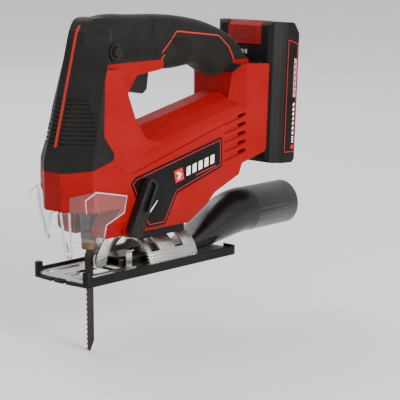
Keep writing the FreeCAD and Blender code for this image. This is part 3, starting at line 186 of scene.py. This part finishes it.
MATERIALS = {
    "red_shell": moulded("red_shell", (0.24, 0.0012, 0.0016), 0.5, amount=0.05, specular=0.09),
    "grip_rubber": rubber("grip_rubber", (0.0048, 0.0041, 0.0037)),
    "accent_red": moulded("accent_red", (0.42, 0.012, 0.004), 0.5),
    "label_black": moulded("label_black", (0.0015, 0.0012, 0.0014), 0.35, specular=0.12),
    "zinc_steel": metal("zinc_steel", (0.56, 0.545, 0.52), 0.33),
    "bright_steel": metal("bright_steel", (0.66, 0.65, 0.63), 0.24),
    "dark_steel": metal("dark_steel", (0.045, 0.042, 0.041), 0.26),
    "blade_steel": metal("blade_steel", (0.05, 0.042, 0.038), 0.38, (8, 1, 1)),
    "bronze": metal("bronze", (0.16, 0.105, 0.065), 0.42),
    "cast_frame": metal("cast_frame", (0.30, 0.31, 0.32), 0.5, (1, 1, 1)),
    "magnet": metal("magnet", (0.06, 0.06, 0.065), 0.55, (1, 1, 1)),
    "windings": metal("windings", (0.5, 0.2, 0.08), 0.4, (30, 1, 1)),
    "black_plastic": moulded("black_plastic", (0.003, 0.003, 0.0033), 0.46, specular=0.14),
    "gloss_black": moulded("gloss_black", (0.0025, 0.0025, 0.003), 0.3, 900, 0.00002, 0.12, specular=0.3),
    "clear_plastic": clear_plastic("clear_plastic"),
    "board_green": moulded("board_green", (0.01, 0.12, 0.04), 0.35),
    "cell_wrap": moulded("cell_wrap", (0.03, 0.10, 0.30), 0.3),
    "button_red": moulded("button_red", (0.21, 0.001, 0.0018), 0.4, specular=0.2),
    "button_black": moulded("button_black", (0.005, 0.0047, 0.0047), 0.5, specular=0.2),
}
PRINT = {
    "print_white": moulded("print_white", (0.85, 0.85, 0.84), 0.5, amount=0.02),
    "print_red": moulded("print_red", (0.52, 0.004, 0.006), 0.45, amount=0.03),
    "print_grey": moulded("print_grey", (0.30, 0.31, 0.32), 0.5, amount=0.04),
    # Opaque pale finish for the clear guard's wing edges: a painted highlight, not a print
    "painted_guard_highlight": moulded("painted_guard_highlight", (0.62, 0.64, 0.64), 0.2, amount=0.04, specular=0.5),
}


def paint_nodes():
    """Each CAD piece gets its record slot's material."""
    for entry in frame["record"]["subparts"]:
        piece = NODES[entry["node"]]
        piece.data.materials.clear()
        piece.data.materials.append(MATERIALS[entry["material_slot"]])


WELD_REACH = 0.00001
SHARP_ANGLE = math.radians(35)
ROUNDING_SEGMENTS = 2


def round_edges(name, width):
    """Rounds a CAD piece's sharp edges, its doubled points welded first so that they are found."""
    piece = NODES[name]
    weld = piece.modifiers.new("weld", "WELD")
    weld.merge_threshold = WELD_REACH
    bevel = piece.modifiers.new("round", "BEVEL")
    bevel.width = width
    bevel.segments = ROUNDING_SEGMENTS
    bevel.limit_method = "ANGLE"
    bevel.angle_limit = SHARP_ANGLE
    bevel.harden_normals = True


# Width of the rounding in millimetres, and the CAD pieces that have it
EDGE_ROUNDINGS = {
    0.7: ["left_shell", "right_shell"],
    0.6: ["battery_front_case", "battery_rear_case", "release_button", "trigger"],
    0.5: ["orbit_lever", "foot_shoe", "lock_button"],
    0.35: ["dust_tube", "clear_guard", "foot_plate", "bevel_arch"],
}


def round_all_edges():
    """Rounds the edges of the larger moulded and pressed pieces."""
    for width, names in EDGE_ROUNDINGS.items():
        for name in names:
            round_edges(name, width * MM)


# ---------------------------------------------------------------------------------------------
# Making pieces

def add_piece(name, build, finish, body, rounding=0.0):
    """Links a bmesh as a piece of its own, gives it a finish and sets it on its body."""
    bmesh.ops.recalc_face_normals(build, faces=build.faces)
    mesh = bpy.data.meshes.new(name)
    build.to_mesh(mesh)
    build.free()
    mesh.materials.append(finish)
    piece = bpy.data.objects.new(name, mesh)
    bpy.context.scene.collection.objects.link(piece)
    if rounding:
        bevel = piece.modifiers.new("round", "BEVEL")
        bevel.width = rounding
        bevel.segments = ROUNDING_SEGMENTS
        bevel.limit_method = "ANGLE"
    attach(piece, body)
    return piece


def side_point(x, y, z, place):
    """A point given in millimetres of a body's own frame, in metres of the row frame."""
    return place @ Vector((x * MM, y * MM, z * MM))


def plates(build, outline, near, far, side, place=Matrix.Identity(4)):
    """Adds a flat plate: an XZ outline between two distances from the middle plane, on one side."""
    rings = [[build.verts.new(side_point(x, side * y, z, place)) for x, z in outline]
             for y in (near, far)]
    build.faces.new(rings[0])
    build.faces.new(list(reversed(rings[1])))
    count = len(outline)
    for i in range(count):
        j = (i + 1) % count
        build.faces.new((rings[0][i], rings[0][j], rings[1][j], rings[1][i]))


def inset(outline, distance):
    """The outline moved inward by distance, corner by corner."""
    count = len(outline)
    area = sum(outline[i - 1][0] * outline[i][1] - outline[i][0] * outline[i - 1][1] for i in range(count))
    turn = 1 if area > 0 else -1
    moved = []
    for i in range(count):
        here = Vector(outline[i])
        before = (here - Vector(outline[i - 1])).normalized()
        after = (Vector(outline[(i + 1) % count]) - here).normalized()
        inward = [Vector((-edge.y, edge.x)) * turn for edge in (before, after)]
        step = (inward[0] + inward[1]) * (distance / (1 + inward[0].dot(inward[1])))
        moved.append(tuple(here + step))
    return moved


def border(build, outline, margin, width, near, far, side, place=Matrix.Identity(4)):
    """Adds a line that runs round inside the outline."""
    loops = [inset(outline, margin), inset(outline, margin + width)]
    rings = [[build.verts.new(side_point(x, side * y, z, place)) for x, z in loop]
             for loop, y in ((loops[0], near), (loops[0], far), (loops[1], far), (loops[1], near))]
    count = len(outline)
    for k in range(4):
        for i in range(count):
            j = (i + 1) % count
            build.faces.new((rings[k][i], rings[k][j], rings[(k + 1) % 4][j], rings[(k + 1) % 4][i]))


def turned(build, profile, centre, axis, segments=48):
    """Adds a turned ring: a closed (radius, along) profile swept round an axis through centre.

    The profile and the centre are in millimetres.
    """
    axis = Vector(axis)
    across = axis.orthogonal().normalized()
    other = axis.cross(across)
    rings = []
    for i in range(segments):
        angle = 2 * math.pi * i / segments
        out = across * math.cos(angle) + other * math.sin(angle)
        rings.append([build.verts.new((Vector(centre) + out * radius + axis * along) * MM)
                      for radius, along in profile])
    count = len(profile)
    for i in range(segments):
        here, beyond = rings[i], rings[(i + 1) % segments]
        for k in range(count):
            m = (k + 1) % count
            build.faces.new((here[k], here[m], beyond[m], beyond[k]))


def skin_of(*names):
    """The outer surface of some CAD pieces, for laying lines on it."""
    points = []
    faces = []
    for name in names:
        mesh = NODES[name].data
        start = len(points)
        points += [vertex.co.copy() for vertex in mesh.vertices]
        faces += [tuple(start + index for index in face.vertices) for face in mesh.polygons]
    return BVHTree.FromPolygons(points, faces)


RAY_START = 0.08
SAME_SPOT = 0.0002


def laid_line(skin, corners, side, spacing=1.5):
    """Points in metres every few millimetres along an XZ line, laid on the skin from one side."""
    laid = []
    for (x0, z0), (x1, z1) in zip(corners, corners[1:]):
        steps = max(1, round(math.hypot(x1 - x0, z1 - z0) / spacing))
        for k in range(steps + 1):
            x = x0 + (x1 - x0) * k / steps
            z = z0 + (z1 - z0) * k / steps
            start = Vector((x * MM, side * RAY_START, z * MM))
            spot = skin.ray_cast(start, Vector((0, -side, 0)))[0]
            if spot is not None and (not laid or (spot - laid[-1]).length > SAME_SPOT):
                laid.append(spot)
    return laid


BEAD_END = 0.35


def bead(build, points, radius, sides=8):
    """Adds a round bead along points, drawn in and closed at its ends."""
    rings = []
    for i, point in enumerate(points):
        along = (points[min(i + 1, len(points) - 1)] - points[max(i - 1, 0)]).normalized()
        across = along.cross(Vector((0, 1, 0))).normalized()
        up = across.cross(along)
        thick = radius * (BEAD_END if i in (0, len(points) - 1) else 1.0)
        rings.append([build.verts.new(point + (across * math.cos(2 * math.pi * k / sides)
                                               + up * math.sin(2 * math.pi * k / sides)) * thick * MM)
                      for k in range(sides)])
    for here, beyond in zip(rings, rings[1:]):
        for k in range(sides):
            m = (k + 1) % sides
            build.faces.new((here[k], here[m], beyond[m], beyond[k]))
    build.faces.new(rings[0])
    build.faces.new(rings[-1])


# ---------------------------------------------------------------------------------------------
# Printed panels

LABEL = [(122, 101), (122, 76), (69, 61), (55, 37.5), (36, 37.5), (31, 45), (16.5, 75), (23, 79.5)]
LABEL_FACE = 30.2
PRINT_THICK = 0.1
MARK_PLACE = (66, 74)
MARK_LEAN = math.radians(12)
MARK_LENGTH = 50
BADGE = [(0, -5), (10, -5), (10, 5), (0, 5)]
CHEVRON = [(2.2, -2.8), (5, 0), (2.2, 2.8), (5, 2.8), (7.8, 0), (5, -2.8)]
UNDERLINE = [(24, -6.6), (48, -6.6), (48, -6.0), (24, -6.0)]
LEVER_TICK = [(37, 50), (38, 49.4), (46.4, 57.6), (46, 58)]
LETTER_COUNT = 5
LETTER_START = 13
LETTER_PITCH = 7.2


def tilted(outline, side):
    """An outline drawn along the label's slope, read from left to right on either side."""
    turned_outline = []
    for along, up in outline:
        if side == RIGHT:
            along = MARK_LENGTH - along
        turned_outline.append((MARK_PLACE[0] + along * math.cos(MARK_LEAN) - up * math.sin(MARK_LEAN),
                               MARK_PLACE[1] + along * math.sin(MARK_LEAN) + up * math.cos(MARK_LEAN)))
    return turned_outline


def letter_bar(start):
    """One of the slanted bars that stand in for the name's letters."""
    return [(start, -3.4), (start + 4.6, -3.4), (start + 6.4, 3.4), (start + 1.8, 3.4)]


def print_side_labels():
    """The red border, badge and bars on the label panel of each side."""
    lines = bmesh.new()
    marks = bmesh.new()
    face = (LABEL_FACE, LABEL_FACE + PRINT_THICK)
    over = (LABEL_FACE + PRINT_THICK, LABEL_FACE + 2 * PRINT_THICK)
    for side in (LEFT, RIGHT):
        border(lines, LABEL, 2.0, 0.45, *face, side)
        plates(lines, tilted(BADGE, side), *face, side)
        plates(lines, tilted(UNDERLINE, side), *face, side)
        plates(marks, tilted(CHEVRON, side), *over, side)
        for k in range(LETTER_COUNT):
            plates(marks, tilted(letter_bar(LETTER_START + LETTER_PITCH * k), side), *face, side)
    plates(marks, LEVER_TICK, *face, LEFT)
    add_piece("label_lines", lines, PRINT["print_red"], "housing")
    add_piece("label_marks", marks, PRINT["print_white"], "housing")


PACK = Matrix.Translation((180 * MM, 0, 132 * MM)) @ Matrix.Rotation(math.radians(3), 4, "Y")
PACK_LABEL = [(13.8, -52), (28.4, -52), (28.4, 42), (13.8, 46)]
PACK_FACE = 37.25
PACK_PANEL = [(23.4, -4), (26.6, -4), (26.6, 28), (23.4, 29)]
PACK_BADGE = [(23.6, -48), (26.4, -48), (26.4, -44.8), (23.6, -44.8)]


def bar(left, right, low, rise, height):
    """A printed bar whose right end stands higher by rise."""
    return [(left, low), (right, low + rise), (right, low + rise + height), (left, low + height)]


def print_battery_labels():
    """The border, panel, badge and rows of bars on each side of the battery."""
    lines = bmesh.new()
    marks = bmesh.new()
    panel = bmesh.new()
    face = (PACK_FACE, PACK_FACE + PRINT_THICK)
    over = (PACK_FACE + PRINT_THICK, PACK_FACE + 2 * PRINT_THICK)
    for side in (LEFT, RIGHT):
        border(lines, PACK_LABEL, 1.1, 0.5, *face, side, PACK)
        plates(panel, PACK_PANEL, *face, side, PACK)
        for k in range(6):
            plates(lines, bar(23.9, 26.1, -1.5 + 4.7 * k, 0.9, 2.5), *over, side, PACK)
        for k in range(7):
            plates(marks, bar(24.1, 25.9, -36 + 4.0 * k, 0.7, 2.4), *face, side, PACK)
        plates(lines, PACK_BADGE, *face, side, PACK)
        for k in range(3):
            plates(marks, bar(24, 26, -43 + 2.1 * k, 0, 1.3), *face, side, PACK)
    add_piece("battery_lines", lines, PRINT["print_red"], "battery")
    add_piece("battery_marks", marks, PRINT["print_white"], "battery")
    add_piece("battery_panel", panel, PRINT["print_grey"], "battery")


WINDOW_FACES = (-0.12, 0.4)
WINDOW_HALF_WIDTH = 1.3
WINDOW_HEIGHTS = (31.2, 34.8)


def charge_windows():
    """Three small charge windows beside the gauge button on the battery's front."""
    build = bmesh.new()
    for k in range(3):
        y = -2.6 + 4.2 * k
        left, right = y - WINDOW_HALF_WIDTH, y + WINDOW_HALF_WIDTH
        low, high = WINDOW_HEIGHTS
        corners = [(left, low), (right, low), (right, high), (left, high)]
        front, rear = [[build.verts.new(PACK @ (Vector((x, *corner)) * MM)) for corner in corners]
                       for x in WINDOW_FACES]
        build.faces.new(front)
        build.faces.new(list(reversed(rear)))
        for i in range(4):
            j = (i + 1) % 4
            build.faces.new((front[i], front[j], rear[j], rear[i]))
    add_piece("charge_windows", build, PRINT["print_grey"], "battery", 0.0002)


# ---------------------------------------------------------------------------------------------
# Grip, buttons and levers

LOCK_BUTTON = (8, 0, 177)
COLLAR_PROFILE = [(4.35, 22.2), (4.35, 24.6), (4.7, 25.1), (5.9, 25.1), (6.5, 24.4), (6.55, 22.2)]


def lock_collars():
    """The collar that rings the lock button in its recess on each side."""
    build = bmesh.new()
    for side in (LEFT, RIGHT):
        profile = [(radius, side * along) for radius, along in COLLAR_PROFILE]
        turned(build, profile, LOCK_BUTTON, (0, 1, 0))
    add_piece("lock_collars", build, MATERIALS["button_black"], "housing")


def finger_ribs():
    """Curved ribs on the handle's sides, just behind the front of the seam."""
    build = bmesh.new()
    skin = skin_of("left_grip", "right_grip")
    for side in (LEFT, RIGHT):
        for k in range(8):
            shift = 2.5 * k
            drop = 0.9 * k
            corners = [(74 + shift + 9 * math.sin(t * math.pi / 7),
                        184 - drop * 0.3 - (t * 22 - drop) / 7) for t in range(8)]
            points = laid_line(skin, corners, side)
            if len(points) > 3:
                bead(build, points, 0.55)
    add_piece("finger_ribs", build, MATERIALS["grip_rubber"], "housing")


def part_lines():
    """The seams between the hard and the soft black plastic on the pillar and along the handle."""
    build = bmesh.new()
    skin = skin_of("left_grip", "right_grip", "left_shell", "right_shell")
    runs = [
        [(-3, 196), (4, 190), (3, 180), (-4, 160), (-12, 132), (-14, 120)],
        [(12, 184), (30, 186), (50, 183), (57, 190), (61, 203)],
    ]
    for side in (LEFT, RIGHT):
        for corners in runs:
            bead(build, laid_line(skin, corners, side), 0.5)
    add_piece("part_lines", build, MATERIALS["grip_rubber"], "housing")


def seam_fronts():
    """The front run of the handle's red seam, carried over the edge of the trigger hood without a break."""
    build = bmesh.new()
    skin = skin_of("left_grip", "right_grip", "left_shell", "right_shell", "accent_strips")
    for side in (LEFT, RIGHT):
        bead(build, laid_line(skin, [(61.9, 168.2), (81.9, 188.1)], side), 0.5)
    add_piece("seam_fronts", build, MATERIALS["accent_red"], "housing")


LEVER_HUB = (17.5, 39.5)
LEVER_TIP = (33.5, 71.5)
LEVER_FACE = 37.5
RIM_START = 17.6
RIM_RUN_OUT = 0.6
RIM_RADIUS = 3.7
RIM_STEPS = 12
HUB_RIM = [(3.1, -37.2), (3.4, -38.0), (4.6, -38.0), (4.9, -37.2)]


def lever_rims():
    """A raised rim round the lever's grip and one round its hub."""
    build = bmesh.new()
    hub = Vector(LEVER_HUB)
    tip = Vector(LEVER_TIP)
    along = (tip - hub).normalized()
    across = Vector((along.y, -along.x))
    reach = (tip - hub).length
    loop = []
    ends = ((hub + along * RIM_START, math.pi), (hub + along * (reach + RIM_RUN_OUT), 0.0))
    for centre, start in ends:
        for k in range(RIM_STEPS + 1):
            angle = start + math.pi * k / RIM_STEPS
            out = across * (RIM_RADIUS * math.cos(angle)) + along * (RIM_RADIUS * math.sin(angle))
            spot = centre + out
            loop.append(Vector((spot.x * MM, -LEVER_FACE * MM, spot.y * MM)))
    loop.append(loop[0])
    bead(build, loop, 0.55)
    turned(build, HUB_RIM, (hub.x, 0, hub.y), (0, 1, 0))
    add_piece("lever_rims", build, MATERIALS["button_black"], "orbit_lever")


def sprung_trigger():
    """The trigger's spring, as a mesh of its own attached to the housing, with the CAD spring hidden."""
    spring = bpy.data.objects.new("trigger_coil", NODES["trigger_spring"].data.copy())
    bpy.context.scene.collection.objects.link(spring)
    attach(spring, "housing")
    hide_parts("trigger_spring")
    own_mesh(spring)


GUARD_WING = [(-31.5, 57.6), (-32.6, 68.4), (-21, 73.2), (11, 66.3), (7.8, 53.7), (-11.2, 46.6),
              (-13.8, 36.4)]
GUARD_FACE = 31.75


def guard_highlight_rims():
    """The thickened edge round each wing of the clear guard, an opaque pale bead: a painted highlight
    standing in for the light its edge catches.
    """
    build = bmesh.new()
    for side in (LEFT, RIGHT):
        rim = [Vector((x * MM, side * GUARD_FACE * MM, z * MM)) for x, z in GUARD_WING]
        bead(build, rim, 0.4)
    # The pale opaque finish is a painted highlight along the guard's edge
    add_piece("guard_highlight_rims", build, PRINT["painted_guard_highlight"], "clear_guard")


# ---------------------------------------------------------------------------------------------
# Camera, floor and light

CAMERA_PLACE = (-0.8387, -0.9012, 0.2883)
CAMERA_HEADING = math.radians(43)
CAMERA_DIP = math.radians(10.5)
CAMERA_LENS = 144.0


def stand_camera():
    """The photograph's angle: 47 degrees round from the left side towards the nose, a little above."""
    level = math.cos(CAMERA_DIP)
    forward = Vector((math.cos(CAMERA_HEADING) * level, math.sin(CAMERA_HEADING) * level,
                      -math.sin(CAMERA_DIP)))
    data = bpy.data.cameras.new("camera")
    data.sensor_width = 36.0
    data.lens = CAMERA_LENS
    data.clip_start = 0.05
    data.clip_end = 20.0
    camera = bpy.data.objects.new("camera", data)
    camera.location = CAMERA_PLACE
    camera.rotation_euler = forward.to_track_quat("-Z", "Y").to_euler()
    bpy.context.scene.collection.objects.link(camera)
    bpy.context.scene.camera = camera


# Name, place, aim and size in metres, power in watts, colour
LIGHTS = [
    ("key", (-0.2, -1.9, 0.7), (0.08, 0, 0.1), 0.8, 54, (1.0, 0.93, 0.86)),
    ("front", (-1.9, -0.5, 0.9), (0.0, 0, 0.1), 0.5, 3, (1, 1, 1)),
    ("back", (0.5, 1.6, 1.5), (0.1, 0, 0.1), 1.2, 16, (1, 1, 1)),
]
FLOOR_REACH = 6.0
FLOOR_GREY = (0.93, 0.93, 0.93)
SKY_COLOUR = (0.97, 0.98, 1.0, 1)
SKY_STRENGTH = 0.9


def area_light(name, place, aim, size, power, colour):
    """A square area light at place, turned to aim."""
    data = bpy.data.lights.new(name, "AREA")
    data.energy = power
    data.color = colour
    data.size = size
    light = bpy.data.objects.new(name, data)
    light.location = place
    light.rotation_euler = (Vector(aim) - Vector(place)).to_track_quat("-Z", "Y").to_euler()
    bpy.context.scene.collection.objects.link(light)


def set_stage():
    """A pale floor at the blade's tip, the sky and the lights."""
    low = cad_box[0][2]
    mesh = bpy.data.meshes.new("floor")
    corners = ((-1, -1), (1, -1), (1, 1), (-1, 1))
    mesh.from_pydata([(x * FLOOR_REACH, y * FLOOR_REACH, low) for x, y in corners], [], [(0, 1, 2, 3)])
    floor = bpy.data.objects.new("floor", mesh)
    bpy.context.scene.collection.objects.link(floor)
    mesh.materials.append(new_material("floor", FLOOR_GREY, 0.9)[0])
    world = bpy.data.worlds.new("world")
    world.use_nodes = True
    sky = world.node_tree.nodes["Background"]
    sky.inputs["Color"].default_value = SKY_COLOUR
    sky.inputs["Strength"].default_value = SKY_STRENGTH
    bpy.context.scene.world = world
    for light in LIGHTS:
        area_light(*light)


stand_camera()
set_stage()
paint_nodes()
round_all_edges()
print_side_labels()
print_battery_labels()
charge_windows()
lock_collars()
finger_ribs()
part_lines()
seam_fronts()
lever_rims()
sprung_trigger()
guard_highlight_rims()
